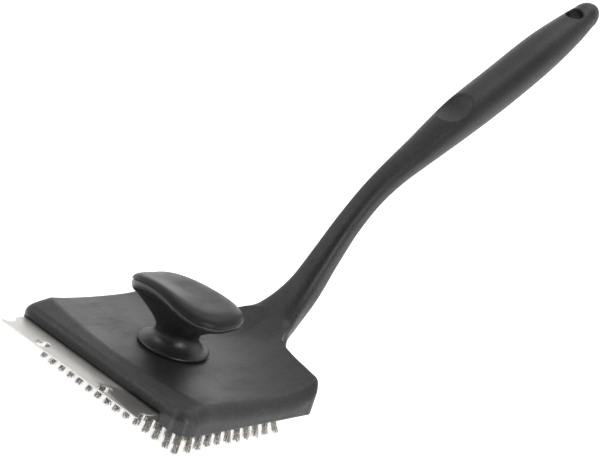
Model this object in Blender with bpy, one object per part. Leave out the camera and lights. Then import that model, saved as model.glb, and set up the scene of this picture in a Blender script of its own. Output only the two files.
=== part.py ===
"""Grill cleaning brush: a one-piece resin head and handle, a steel scraper blade,
a screwed-on bristle block and a palm knob.

Brush axes while modelling: X across the head, Y from the head's front face towards
the handle, Z up from the bristle tips.  Every object hangs on the empty brush_frame,
which puts the world origin under the middle of the finished brush.
"""

import math

import bmesh
import bpy
import numpy as np
from mathutils import Matrix, Vector

# ------------------------------------------------------------ driving dimensions (m)
GAP = 0.0003                    # clearance between pieces that touch
RIM_Z = 0.0125                  # underside of the head above the bristle tips

HEAD_WIDTH = 0.165
HEAD_DEPTH = 0.1275
BACK_SWEEP = 0.0900             # slope of the rear edge at the corners
BACK_CURVE = 3.45               # how fast it steepens towards the neck, per metre
CORNER_R = 0.012
REAR_CORNER_R = 0.007
SHOULDER_R = 0.0055
SHOULDER_CUT = 0.0040
REAR_EDGE_R = 0.0022

SADDLE_LOW_Z = RIM_Z + 0.0152   # lowest line of the saddle-shaped top
SADDLE_LOW_Y = 0.080
FRONT_RISE = 0.0030             # rise of the saddle to the front crease
REAR_RISE = 0.0101              # rise of the saddle to the rear edge
BAND_DEPTH = 0.0193             # front band, between the front face and the crease
BAND_Z = RIM_Z + 0.0134         # height of the band's plane at the front face
BAND_SLOPE = 0.249
DISH = 0.0022                   # how far the crease dips in the middle of the front
DISH_HALF = 0.075
SIDE_RIDGE = 0.0008
CREASE_R = 0.0006
REAR_SOFTENING = 0.0012         # the crease fades into a soft edge at the rear

# handle stations from root to tip: y, height above the rim, half width, half thickness
HANDLE = (
    (0.118, 0.002, 0.046, 0.0060),
    (0.140, 0.0085, 0.036, 0.0085),
    (0.1560, 0.0175, 0.0215, 0.0098),
    (0.1711, 0.0306, 0.0151, 0.0101),
    (0.1856, 0.0479, 0.0117, 0.0099),
    (0.1974, 0.0701, 0.0099, 0.0089),
    (0.2108, 0.0948, 0.0089, 0.0080),
    (0.2266, 0.1167, 0.0089, 0.0080),
    (0.2442, 0.1338, 0.0098, 0.0090),
    (0.2675, 0.1514, 0.0118, 0.0110),
    (0.3022, 0.1775, 0.0148, 0.0143),
    (0.3403, 0.2031, 0.0154, 0.0149),
    (0.3778, 0.2297, 0.0150, 0.0146),
    (0.4048, 0.24845, 0.0125, 0.0120),
    (0.4204, 0.2598, 0.0100, 0.0095),
)
TIP_LENGTH = 0.0138
WEB_Y = 0.1425                  # the web behind the head, level with its rear edge
WEB_HALF = 0.0085
WEB_FLARE = 0.0200
WEB_REACH = 0.016
WEB_END = 0.170
WEB_THICK = 0.0060
FLARE_R = 0.010                 # head to handle, over the top
NECK_FILLET = 0.002             # head to handle, under the neck
EYE_R = 0.0064
EYE_STATION = 0.958             # where the hanging eye sits, as a share of the stations
SCOOP_STATION = 0.707           # thumb scoop, the same way
SCOOP_RADII = (0.0182, 0.0260, 0.0112)
SCOOP_LIFT = 0.0060
ROOT_TAPER = 0.55               # how much narrower the root is underneath
NECK_POWER = 2.9                # superellipse exponent of the neck, squarer than the grip
GRIP_POWER = 2.25

WALL = 0.0030
BLADE_THICK = 0.0010
BLADE_Z = RIM_Z + 0.0052        # underside of the blade
BLADE_LEFT = -0.0746
BLADE_RIGHT = 0.0598
BLADE_FRONT = -0.0207
BLADE_REAR = 0.0185
BLADE_HOLE_R = 0.00475
BLADE_HOLES = (-0.0382, 0.0238)  # round holes in the exposed strip
BLADE_HOLE_Y = -0.0142

BLOCK_TOP = BLADE_Z - GAP
ROWS = 11
COLUMNS = 18
CLEAR_TUFTS = 3                 # tufts left out at the front row's left end
ROW_PITCH = 0.0086
COLUMN_PITCH = 0.0089
FIRST_ROW_Y = 0.0075
TUFT = 0.0040
RAIL = 0.0012
RAIL_TOP = RIM_Z + 0.0032

FRONT_SCREWS = ((-0.0623, 0.0118), (-0.0089, 0.0118), (0.0445, 0.0118))
REAR_SCREWS = ((-0.054, 0.108), (0.0, 0.108), (0.054, 0.108))
SCREW_R = 0.0015
SCREW_HEAD_R = 0.0026
SCREW_HEAD_H = 0.0014
SCREW_LENGTH = 0.0095
BOSS_R = 0.0045

KNOB_Y = 0.0656
KNOB_SEAT_Z = RIM_Z + 0.0154
KNOB_HALF = (0.0413, 0.0277)    # half width and half depth of the palm cap
KNOB_POWER = 2.73               # superellipse exponent of the palm cap
KNOB_RIM_Z = RIM_Z + 0.0493
KNOB_CROWN = 0.0078
KNOB_SIDES = 32
BOLT_R = 0.0030
INSERT_R = 0.0046

CHANNEL_WALL = 0.0038
CHANNEL_START = 0.08
CHANNEL_END = 0.86              # share of the stations that the channel reaches
EYE_REACH = 0.030
BLOCK_REAR = 0.1212
HOLLOW_FRONT = 0.0225
HOLLOW_REAR = 0.1175
PILOT_TOP = RIM_Z + 0.0110
MIDDLE_ROW_Y = FIRST_ROW_Y + (ROWS - 1) / 2 * ROW_PITCH
SPLAY_X = 1.032                 # how far the tips fan out across the head
SPLAY_Y = 1.09                  # the same along it
TIP_SPREAD = 1.10
STEM_R = 0.0152
BOWL_FLOOR_Z = RIM_Z + 0.0335
# radius and height over the seat, from the foot's rim up the waist to the bowl
FOOT_PROFILE = ((0.0245, 0.0), (0.0245, 0.0008), (0.0236, 0.0015), (0.0200, 0.0026),
                (0.0168, 0.0048), (0.0150, 0.0080), (0.0149, 0.0105), (0.0156, 0.0135))

GRID = 0.0030                   # cell of the net that skins the moulded body
SKIN_RATIO = 0.22               # share of its faces that stays after simplifying


# ------------------------------------------------------------------ small helpers
def clear_scene():
    for thing in list(bpy.data.objects):
        bpy.data.objects.remove(thing)


def material(name, colour, roughness, metallic=0.0):
    mat = bpy.data.materials.new(name)
    mat.use_nodes = True
    shader = mat.node_tree.nodes["Principled BSDF"]
    shader.inputs["Base Color"].default_value = (*colour, 1.0)
    shader.inputs["Roughness"].default_value = roughness
    shader.inputs["Metallic"].default_value = metallic
    return mat


def add_object(name, mesh, frame, mat=None):
    thing = bpy.data.objects.new(name, mesh)
    bpy.context.collection.objects.link(thing)
    thing.parent = frame
    if mat:
        mesh.materials.append(mat)
    return thing


def mesh_from(name, points, faces):
    mesh = bpy.data.meshes.new(name)
    mesh.from_pydata([tuple(p) for p in points], [], faces)
    mesh.update()
    return mesh


def loft(name, rings, closed=False):
    """Skin a list of equal rings with quads, and cap both ends unless it closes."""
    sides = len(rings[0])
    points = [p for ring in rings for p in ring]
    faces = []
    spans = len(rings) if closed else len(rings) - 1
    for i in range(spans):
        low = i * sides
        high = (i + 1) % len(rings) * sides
        for j in range(sides):
            k = (j + 1) % sides
            faces.append((low + j, low + k, high + k, high + j))
    if not closed:
        faces.append(tuple(reversed(range(sides))))
        faces.append(tuple(range((len(rings) - 1) * sides, len(rings) * sides)))
    mesh = mesh_from(name, points, faces)
    fix_normals(mesh)
    return mesh


def fix_normals(mesh):
    bm = bmesh.new()
    bm.from_mesh(mesh)
    bmesh.ops.recalc_face_normals(bm, faces=bm.faces)
    bm.to_mesh(mesh)
    bm.free()


def circle(radius, x, y, z, sides):
    turn = 2 * math.pi / sides
    return [(x + radius * math.cos(i * turn), y + radius * math.sin(i * turn), z)
            for i in range(sides)]


def turned(name, profile, x, y, sides, closed=False):
    """A solid turned about the vertical line at x, y; profile is (radius, z) upwards."""
    return loft(name, [circle(r, x, y, z, sides) for r, z in profile], closed)


def box_mesh(name, low, high):
    bm = bmesh.new()
    size = Vector(high) - Vector(low)
    place = Matrix.Translation((Vector(high) + Vector(low)) / 2)
    bmesh.ops.create_cube(bm, size=1.0, matrix=place @ Matrix.Diagonal((*size, 1)))
    mesh = bpy.data.meshes.new(name)
    bm.to_mesh(mesh)
    bm.free()
    return mesh


def prism(name, outline, low, high):
    """An upright solid on an outline of x, y points."""
    return loft(name, [[(x, y, z) for x, y in outline] for z in (low, high)])


def rounded_outline(half_width, front, rear, radius, steps=5):
    """Rectangle in plan with rounded corners, anticlockwise."""
    points = []
    centres = ((half_width - radius, front + radius, -90), (half_width - radius, rear - radius, 0),
               (radius - half_width, rear - radius, 90), (radius - half_width, front + radius, 180))
    for x, y, start in centres:
        for i in range(steps + 1):
            turn = math.radians(start + 90 * i / steps)
            points.append((x + radius * math.cos(turn), y + radius * math.sin(turn)))
    return points


def joined(name, meshes):
    """One mesh of several separate shapes, used only as a Boolean tool."""
    bm = bmesh.new()
    for mesh in meshes:
        bm.from_mesh(mesh)
    whole = bpy.data.meshes.new(name)
    bm.to_mesh(whole)
    bm.free()
    return whole


def boolean(thing, name, mesh, operation="DIFFERENCE"):
    """Cut a tool mesh out of an object, or join it on."""
    tool = add_object(f"{thing.name}_{name}", mesh, thing.parent)
    tool.hide_render = True
    tool.display_type = "WIRE"
    modifier = thing.modifiers.new(name, "BOOLEAN")
    modifier.operation = operation
    modifier.object = tool
    modifier.solver = "EXACT"


# ------------------------------------------------- the moulded body as a distance field
def round_union(a, b, r):
    u = np.maximum(r - a, 0.0)
    v = np.maximum(r - b, 0.0)
    return np.maximum(r, np.minimum(a, b)) - np.sqrt(u * u + v * v)


def round_common(a, b, r):
    return -round_union(-a, -b, r)


def smooth_step(t):
    t = np.clip(t, 0.0, 1.0)
    return t * t * (3 - 2 * t)


def back_field(x, y):
    """Distance behind the head's rear edge, which sweeps back ever faster to the neck."""
    inboard = HEAD_WIDTH / 2 - np.abs(x)
    slope = BACK_SWEEP + 2 * BACK_CURVE * inboard
    edge = HEAD_DEPTH + (BACK_SWEEP + BACK_CURVE * inboard) * inboard
    return (y - edge) / np.sqrt(1 + slope ** 2)


def top_height(x, y, back):
    """The dished saddle over the head, which climbs on past the rear edge into the neck."""
    ahead = np.maximum(SADDLE_LOW_Y - y, 0.0) / (SADDLE_LOW_Y - BAND_DEPTH)
    behind = np.clip(1.0 + back / 0.045, 0.0, 1.10)
    saddle = SADDLE_LOW_Z + FRONT_RISE * ahead ** 2 + REAR_RISE * behind ** 2.6
    across = np.maximum(1.0 - (x / DISH_HALF) ** 2, -0.3)
    fade = np.clip((0.070 - y) / 0.055, 0.12, 1.0)
    return saddle, saddle - DISH * across * fade, behind


def web_plan(x, y):
    """Plan of the web behind the head, which narrows into the neck."""
    flared = WEB_FLARE * np.exp(np.minimum(WEB_Y - y, 0.02) / WEB_REACH)
    sides = (np.abs(x) - WEB_HALF - flared) / np.sqrt(1 + (flared / WEB_REACH) ** 2)
    return round_common(np.maximum(sides, 0.120 - y), y - WEB_END, 0.006)


def head_field(x, y, z):
    """The head: a dished saddle top behind a sloping front band, and the web to the neck."""
    back = back_field(x, y)
    saddle, dished, behind = top_height(x, y, back)
    side = np.abs(x) - HEAD_WIDTH / 2
    over = z - np.minimum(BAND_Z + BAND_SLOPE * y, saddle + SIDE_RIDGE)
    walls = round_common(round_common(side, -y, CORNER_R), back, REAR_CORNER_R)
    walls = round_union(walls, web_plan(x, y), 0.0015)
    rear_r = REAR_EDGE_R + 0.0020 * smooth_step((np.abs(x) - 0.058) / 0.020)
    edge_r = SHOULDER_R + (rear_r - SHOULDER_R) * smooth_step(1.0 + back / 0.020)
    body = round_common(walls, over, edge_r)
    cut = SHOULDER_CUT * (0.6 + 0.4 * smooth_step((y - 0.004) / 0.030))
    body = round_common(body, (side + over) * 0.7071 + cut, 0.0012)
    body = round_common(body, z - dished, CREASE_R + REAR_SOFTENING * np.minimum(behind, 1.05) ** 4)
    return round_common(body, round_union(back - 0.0025, dished - WEB_THICK - z, 0.001), 0.0015)


def handle_spine(count=160):
    """Smooth curve through the handle's stations: arrays of y, z, half sizes."""
    knots = np.array(HANDLE)
    knots[:, 1] += RIM_Z
    ends = np.vstack([2 * knots[0] - knots[1], knots, 2 * knots[-1] - knots[-2]])
    t = np.linspace(0, len(knots) - 1.000001, count)
    i = t.astype(int)
    f = (t - i)[:, None]
    p0, p1, p2, p3 = ends[i], ends[i + 1], ends[i + 2], ends[i + 3]
    return 0.5 * (2 * p1 + (p2 - p0) * f + (2 * p0 - 5 * p1 + 4 * p2 - p3) * f ** 2
                  + (3 * p1 - p0 - 3 * p2 + p3) * f ** 3)


def spine_coordinates(y, z, spine):
    """Along the spine (0 to 1), height over it, and the half sizes there."""
    start, step = spine[:-1, :2], np.diff(spine[:, :2], axis=0)
    length = np.hypot(step[:, 0], step[:, 1])
    best = np.full(y.shape, 1e9)
    where = np.zeros(y.shape)
    height = np.zeros(y.shape)
    for i in range(len(start)):
        dy = y - start[i, 0]
        dz = z - start[i, 1]
        t = (dy * step[i, 0] + dz * step[i, 1]) / length[i] ** 2
        last = len(start) - 1
        t = np.clip(t, -1e3 if i == 0 else 0.0, 1e3 if i == last else 1.0)
        ey = dy - t * step[i, 0]
        ez = dz - t * step[i, 1]
        excess = np.maximum(np.abs(t - 0.5) - 0.5, 0) * length[i]
        gap = np.sqrt(ey ** 2 + ez ** 2 + excess ** 2)
        closer = gap < best
        best = np.where(closer, gap, best)
        where = np.where(closer, i + t, where)
        over = (step[i, 0] * dz - step[i, 1] * dy) / length[i]
        height = np.where(closer, over, height)
    place = np.clip(where, 0, len(start)) / len(start)
    knots = np.linspace(0, 1, len(spine))
    half_width = np.interp(place, knots, spine[:, 2])
    half_thick = np.interp(place, knots, spine[:, 3])
    beyond = np.maximum(where - len(start), 0) * length[-1]
    before = np.maximum(-where, 0) * length[0]
    return place, height, half_width, half_thick, beyond, before


def handle_field(x, coordinates):
    place, height, wide, thick, beyond, before = coordinates
    taper = ROOT_TAPER * (1.0 - smooth_step(place / 0.30))
    wide = wide * (1.0 + taper * np.clip(height / thick, -1.0, 1.0))
    u, v = np.abs(x / wide), np.abs(height / thick)
    power = NECK_POWER + (GRIP_POWER - NECK_POWER) * smooth_step((place - 0.40) / 0.25)
    k = np.maximum(u ** power + v ** power, 1e-9) ** (1 / power)
    slope = np.hypot(u / wide, v / thick) / np.maximum(np.hypot(u, v), 1e-6)
    end = beyond / TIP_LENGTH
    k = np.sqrt(k ** 2 + end ** 2)
    slope = np.maximum(slope, 1 / np.maximum(wide, thick)) + (end > 0) * end / TIP_LENGTH * 0.3
    return np.maximum((k - 1) / slope, before - 0.004)


def spine_point(spine, share):
    """Point on the spine with its tangent and upward normal, in the YZ plane."""
    at = share * (len(spine) - 1)
    i = min(int(at), len(spine) - 2)
    step = spine[i + 1, :2] - spine[i, :2]
    tangent = step / np.hypot(*step)
    point = spine[i] + (spine[i + 1] - spine[i]) * (at - i)
    return point, tangent, np.array([-tangent[1], tangent[0]])


def scoop_field(x, y, z, spine):
    """Ellipsoid that presses the thumb scoop into the grip."""
    point, tangent, normal = spine_point(spine, SCOOP_STATION)
    along_r, wide_r, deep_r = SCOOP_RADII
    cy = point[0] + normal[0] * (point[3] + SCOOP_LIFT)
    cz = point[1] + normal[1] * (point[3] + SCOOP_LIFT)
    along = (y - cy) * tangent[0] + (z - cz) * tangent[1]
    deep = (y - cy) * normal[0] + (z - cz) * normal[1]
    k = np.sqrt((along / along_r) ** 2 + (x / wide_r) ** 2 + (deep / deep_r) ** 2)
    return (k - 1) * deep_r


def body_field(x, y, z, spine, coordinates):
    handle = handle_field(x, coordinates)
    top = smooth_step((z - RIM_Z - 0.014) / 0.012)
    flare = FLARE_R * top * (1.0 - 0.75 * smooth_step((np.abs(x) - 0.006) / 0.020))
    body = round_union(head_field(x, y, z), handle, NECK_FILLET + flare)
    body = np.maximum(body, RIM_Z - z)
    return round_common(body, -scoop_field(x, y, z, spine), 0.0008)


def surface_net(field, low, step):
    """Quads around the zero surface of a sampled field."""
    inside = field < 0
    shape = tuple(n - 1 for n in field.shape)
    corners = [(i, j, k) for i in (0, 1) for j in (0, 1) for k in (0, 1)]

    def shifted(values, corner):
        i, j, k = corner
        return values[i:i + shape[0], j:j + shape[1], k:k + shape[2]]

    hits = sum(shifted(inside, c).astype(np.int8) for c in corners)
    cells = np.argwhere((hits > 0) & (hits < 8))
    number = np.full(shape, -1, dtype=np.int64)
    number[tuple(cells.T)] = np.arange(len(cells))
    total = np.zeros((len(cells), 3))
    count = np.zeros(len(cells))
    for a in corners:
        for axis in range(3):
            if a[axis]:
                continue
            b = tuple(v + (n == axis) for n, v in enumerate(a))
            fa = field[tuple((cells + a).T)]
            fb = field[tuple((cells + b).T)]
            crossed = (fa < 0) != (fb < 0)
            t = np.where(crossed, fa / np.where(crossed, fa - fb, 1.0), 0.0)
            place = np.array(a) + t[:, None] * (np.array(b) - np.array(a))
            total += place * crossed[:, None]
            count += crossed
    points = low + (cells + total / count[:, None]) * step
    faces = []
    for axis in range(3):
        u, v = (axis + 1) % 3, (axis + 2) % 3
        ahead = np.take(inside, range(1, inside.shape[axis]), axis=axis)
        here = np.take(inside, range(0, inside.shape[axis] - 1), axis=axis)
        edges = np.argwhere(ahead != here)
        edges = edges[(edges[:, u] > 0) & (edges[:, v] > 0)]
        leaving = here[tuple(edges.T)]
        du, dv = np.eye(3, dtype=int)[u], np.eye(3, dtype=int)[v]
        ring = [number[tuple((edges - s * du - t * dv).T)]
                for s, t in ((1, 1), (0, 1), (0, 0), (1, 0))]
        quads = np.stack(ring, axis=1)
        faces.extend(np.where(leaving[:, None], quads, quads[:, ::-1]).tolist())
    return points, faces


def settle(points, field_at, step):
    """Move the net's points onto the surface itself."""
    for _ in range(3):
        value = field_at(points)
        slope = np.stack([field_at(points + d) - field_at(points - d)
                          for d in np.eye(3) * step], axis=1) / (2 * step)
        size = np.maximum((slope ** 2).sum(axis=1), 0.2)
        points = points - slope * (value / size)[:, None]
    return points


def body_skin(spine):
    low = np.array([-HEAD_WIDTH / 2 - 2 * GRID, -2 * GRID, RIM_Z - 1.5 * GRID])
    high = np.array([HEAD_WIDTH / 2 + 2 * GRID, 0.455, RIM_Z + 0.280])
    count = np.ceil((high - low) / GRID).astype(int)
    xs, ys, zs = (low[i] + GRID * np.arange(count[i]) for i in range(3))
    flat_y, flat_z = np.meshgrid(ys, zs, indexing="ij")
    flat = [part[None] for part in spine_coordinates(flat_y, flat_z, spine)]
    x, y, z = np.meshgrid(xs, ys, zs, indexing="ij")
    points, faces = surface_net(body_field(x, y, z, spine, flat), low, GRID)

    def field_at(p):
        near = spine_coordinates(p[:, 1], p[:, 2], spine)
        return body_field(p[:, 0], p[:, 1], p[:, 2], spine, near)

    return settle(points, field_at, GRID * 0.1), faces


# --------------------------------------------------------------------- the moulding
def channel(spine):
    """The hollow of the handle, which opens into the head."""
    rings = []
    for share in np.linspace(CHANNEL_START, CHANNEL_END, 15):
        point, _, normal = spine_point(spine, share)
        wide = min(point[2] - CHANNEL_WALL, 0.012)
        thick = point[3] - CHANNEL_WALL
        rings.append(spine_ring(point, normal, wide, thick, 10))
    mouth = [(x, y - 0.030, z - 0.0015) for x, y, z in rings[0]]
    return loft("channel", [mouth] + rings)


def spine_ring(point, normal, wide, thick, sides):
    """An ellipse around the spine, square to it."""
    ring = []
    for i in range(sides):
        turn = 2 * math.pi * i / sides
        lift = thick * math.sin(turn)
        ring.append((wide * math.cos(turn), point[0] + normal[0] * lift, point[1] + normal[1] * lift))
    return ring


def eye(spine):
    """The hanging eye, a round hole through the handle's flat."""
    point, tangent, normal = spine_point(spine, EYE_STATION)
    rings = []
    for lift in (-EYE_REACH, EYE_REACH):
        centre = point[:2] + normal * lift
        rings.append(spine_ring(centre, tangent, EYE_R, EYE_R, 20))
    return loft("eye", rings)


def make_head_handle(frame, mat):
    spine = handle_spine()
    mesh = mesh_from("head_handle", *body_skin(spine))
    mesh.shade_smooth()
    body = add_object("head_handle", mesh, frame, mat)
    thin = body.modifiers.new("Simplify", "DECIMATE")
    thin.ratio = SKIN_RATIO
    inner = HEAD_WIDTH / 2 - WALL
    ceiling = SADDLE_LOW_Z - WALL
    seat = rounded_outline(inner, WALL, BLOCK_REAR + GAP, CORNER_R - WALL)
    boolean(body, "seat", prism("seat", seat, 0.0, BLADE_Z))
    hollow = rounded_outline(inner - 0.003, HOLLOW_FRONT, HOLLOW_REAR, CORNER_R - WALL)
    boolean(body, "hollow", prism("hollow", hollow, BLADE_Z - 0.001, ceiling))
    slot = box_mesh("slot", (BLADE_LEFT - GAP, -0.01, 0.0),
                    (BLADE_RIGHT + GAP, BLADE_REAR + GAP, BLADE_Z + BLADE_THICK + GAP))
    boolean(body, "slot", slot)
    boolean(body, "channel", channel(spine))
    boolean(body, "eye", eye(spine))
    bosses = [turned("boss", ((BOSS_R, BLADE_Z), (BOSS_R, ceiling + 0.001)), x, y, 12)
              for x, y in REAR_SCREWS]
    boolean(body, "bosses", joined("bosses", bosses), "UNION")
    pilot_r, bolt_way_r = SCREW_R + GAP, BOLT_R + GAP
    holes = [turned("pilot", ((pilot_r, BLADE_Z - 0.002), (pilot_r, PILOT_TOP)), x, y, 10)
             for x, y in FRONT_SCREWS + REAR_SCREWS]
    holes.append(turned("bolt_way", ((bolt_way_r, ceiling - 0.002), (bolt_way_r, RIM_Z + 0.03)),
                        0, KNOB_Y, 16))
    boolean(body, "holes", joined("holes", holes))


# ------------------------------------------------------- blade, block and bristles
def arc(x, y, radius, start, end, steps):
    """Points on an arc, angles in degrees."""
    turns = [math.radians(start + (end - start) * i / steps) for i in range(steps + 1)]
    return [(x + radius * math.cos(t), y + radius * math.sin(t)) for t in turns]


def blade_outline():
    """Anticlockwise: a round-nosed tongue and a scallop with a hook at each end."""
    left, right = BLADE_LEFT, BLADE_RIGHT
    scallop_r = 0.0047
    points = [(left, BLADE_REAR)]
    points += [(left, -0.0072), (left + 0.0005, -0.0082)]
    points += arc(left - 0.0004, -0.0136, scallop_r, 66, -60, 8)
    points += arc(left + 0.0015, BLADE_FRONT + 0.0015, 0.0015, 140, 270, 5)
    points += arc(right - 0.0010, BLADE_FRONT + 0.0018, 0.0009, -85, 10, 3)
    points += arc(right + 0.0009, -0.0132, scallop_r, 232, 118, 8)
    points += [(right - 0.0004, -0.0078), (right, -0.0070), (right, BLADE_REAR)]
    return points


def make_blade(frame, mat):
    """Thin plate: a strip that shows ahead of the head, with scalloped ends."""
    plate = prism("scraper_blade", blade_outline(), BLADE_Z, BLADE_Z + BLADE_THICK)
    blade = add_object("scraper_blade", plate, frame, mat)
    reach = (BLADE_Z - 0.002, BLADE_Z + BLADE_THICK + 0.002)
    holes = [turned("hole", [(BLADE_HOLE_R, z) for z in reach], x, BLADE_HOLE_Y, 24) for x in BLADE_HOLES]
    holes += [turned("screw_way", [(SCREW_R + GAP, z) for z in reach], x, y, 10)
              for x, y in FRONT_SCREWS]
    boolean(blade, "holes", joined("holes", holes))


def row_y(row):
    return FIRST_ROW_Y + row * ROW_PITCH


def make_block(frame, mat):
    """The board that carries the bristles, with a lip that fills the slot under the blade."""
    edge = WALL + GAP
    outline = rounded_outline(HEAD_WIDTH / 2 - edge, edge, BLOCK_REAR, CORNER_R - edge)
    board = prism("bristle_block", outline, RIM_Z, BLOCK_TOP)
    block = add_object("bristle_block", board, frame, mat)
    lip = box_mesh("lip", (BLADE_LEFT, GAP, RIM_Z), (BLADE_RIGHT, 0.012, BLOCK_TOP))
    boolean(block, "lip", lip, "UNION")
    half = ((COLUMNS - 1) * COLUMN_PITCH + TUFT) / 2 + GAP
    side = RAIL / 2 + GAP
    slots = [box_mesh("row", (-half, row_y(i) - side, 0.0), (half, row_y(i) + side, RAIL_TOP + GAP))
             for i in range(ROWS)]
    boolean(block, "rows", joined("rows", slots))
    recess = RIM_Z + SCREW_HEAD_H + 2 * GAP
    ways = []
    for x, y in FRONT_SCREWS + REAR_SCREWS:
        profile = ((SCREW_HEAD_R + GAP, 0.0), (SCREW_HEAD_R + GAP, recess),
                   (SCREW_R + GAP, recess), (SCREW_R + GAP, BLADE_Z + 0.002))
        ways.append(turned("way", profile, x, y, 12))
    boolean(block, "screw_ways", joined("screw_ways", ways))


def make_row(number, frame, mat):
    """One row of wire tufts on the thin rail; the front row leaves its left end clear."""
    bm = bmesh.new()
    y = row_y(number)
    half = TUFT / 2
    first = -(COLUMNS - 1) / 2 * COLUMN_PITCH
    cuts = []
    for column in range(COLUMNS):
        centre = first + column * COLUMN_PITCH
        cuts += [centre - half, centre + half]
    rail_low = RIM_Z - GAP
    section = ((-RAIL / 2, rail_low), (RAIL / 2, rail_low), (RAIL / 2, RAIL_TOP), (-RAIL / 2, RAIL_TOP))
    rails = [[bm.verts.new((x, y + dy, z)) for x in cuts] for dy, z in section]
    front_low, back_low, back_top, front_top = rails
    for one, other in ((back_low, back_top), (back_top, front_top), (front_top, front_low)):
        bm.faces.new(one + other[::-1])
    for end in (0, -1):
        bm.faces.new([rail[end] for rail in rails])
    square = ((-half, -half), (half, -half), (half, half), (-half, half))
    tip_y = MIDDLE_ROW_Y + (y - MIDDLE_ROW_Y) * SPLAY_Y
    for column in range(COLUMNS):
        i = 2 * column
        root = [front_low[i], front_low[i + 1], back_low[i + 1], back_low[i]]
        if column + 1 < COLUMNS:
            bm.faces.new((front_low[i + 1], front_low[i + 2], back_low[i + 2], back_low[i + 1]))
        if number == 0 and column < CLEAR_TUFTS:
            bm.faces.new(root)
            continue
        centre = first + column * COLUMN_PITCH
        shoulder = [bm.verts.new((centre + dx, y + dy, rail_low - 0.0006)) for dx, dy in square]
        tip = [bm.verts.new((centre * SPLAY_X + dx * TIP_SPREAD, tip_y + dy * TIP_SPREAD, 0.0))
               for dx, dy in square]
        for low, high in ((root, shoulder), (shoulder, tip)):
            for j in range(4):
                k = (j + 1) % 4
                bm.faces.new((low[j], low[k], high[k], high[j]))
        bm.faces.new(tip)
    bmesh.ops.recalc_face_normals(bm, faces=bm.faces)
    mesh = bpy.data.meshes.new("bristle_row")
    bm.to_mesh(mesh)
    bm.free()
    add_object(f"bristle_row_{number + 1:02d}", mesh, frame, mat)


def make_screw(number, x, y, frame, mat):
    """Pan-head screw, head down in the block's recess."""
    head = RIM_Z + GAP
    neck = head + SCREW_HEAD_H
    tip = head + SCREW_LENGTH
    profile = ((SCREW_HEAD_R * 0.6, head), (SCREW_HEAD_R, head + 0.0005), (SCREW_HEAD_R, neck),
               (SCREW_R, neck), (SCREW_R, tip - 0.001), (SCREW_R * 0.4, tip))
    mesh = turned("block_screw", profile, x, y, 10)
    add_object(f"block_screw_{number + 1}", mesh, frame, mat)


# ------------------------------------------------------------------- the palm knob
def oval(inset, z, round_share=0.0, sides=KNOB_SIDES):
    """Ring of the knob: its oval outline brought in, or blended to a circle."""
    ring = []
    for i in range(sides):
        turn = 2 * math.pi * i / sides
        c, s = math.cos(turn), math.sin(turn)
        reach = (abs(c) ** KNOB_POWER + abs(s) ** KNOB_POWER) ** (-1 / KNOB_POWER)
        x = (KNOB_HALF[0] - inset) * c * reach
        y = (KNOB_HALF[1] - inset) * s * reach
        x += (STEM_R * c - x) * round_share
        y += (STEM_R * s - y) * round_share
        ring.append((x, KNOB_Y + y, z))
    return ring


def make_knob_body(frame, mat):
    """Foot, waisted stem and flared bowl in one turned-to-oval moulding."""
    foot = KNOB_SEAT_Z + GAP
    bore = INSERT_R + GAP
    rings = [circle(bore, 0, KNOB_Y, foot, KNOB_SIDES)]
    for radius, lift in FOOT_PROFILE:
        rings.append(circle(radius, 0, KNOB_Y, foot + lift, KNOB_SIDES))
    for share, height in ((0.62, 0.0345), (0.26, 0.0405), (0.06, 0.0440)):
        rings.append(oval(0.0012, RIM_Z + height, share))
    rings.append(oval(0.0, KNOB_RIM_Z - 0.0040))
    rings.append(oval(0.0002, KNOB_RIM_Z - GAP))
    rings.append(oval(0.0032, KNOB_RIM_Z - GAP))
    rings.append(oval(0.0046, KNOB_RIM_Z - 0.0050))
    rings.append(oval(0.0050, BOWL_FLOOR_Z + 0.0010, 0.80))
    rings.append(circle(bore + 0.002, 0, KNOB_Y, BOWL_FLOOR_Z, KNOB_SIDES))
    rings.append(circle(bore, 0, KNOB_Y, BOWL_FLOOR_Z, KNOB_SIDES))
    mesh = loft("knob_body", rings, closed=True)
    add_object("knob_body", mesh, frame, mat)


def make_knob_cap(frame, mat):
    """Crowned pad that closes the knob's bowl."""
    crown = []
    for share in (0.15, 0.35, 0.6, 0.82):
        lift = KNOB_CROWN * (1 - (1 - share) ** 2.2)
        crown.append(oval(KNOB_HALF[1] * share, KNOB_RIM_Z + lift))
    rings = [oval(0.0, KNOB_RIM_Z), oval(0.0004, KNOB_RIM_Z + 0.0012)] + crown
    spigot_z = KNOB_RIM_Z - 0.0015
    under = [oval(KNOB_HALF[1] * 0.82, KNOB_RIM_Z + 0.0050),
             oval(KNOB_HALF[1] * 0.35, KNOB_RIM_Z + 0.0024),
             oval(0.0055, spigot_z), oval(0.0038, spigot_z), oval(0.0035, KNOB_RIM_Z)]
    mesh = loft("knob_cap", rings[::-1] + under[::-1])
    add_object("knob_cap", mesh, frame, mat)


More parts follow.
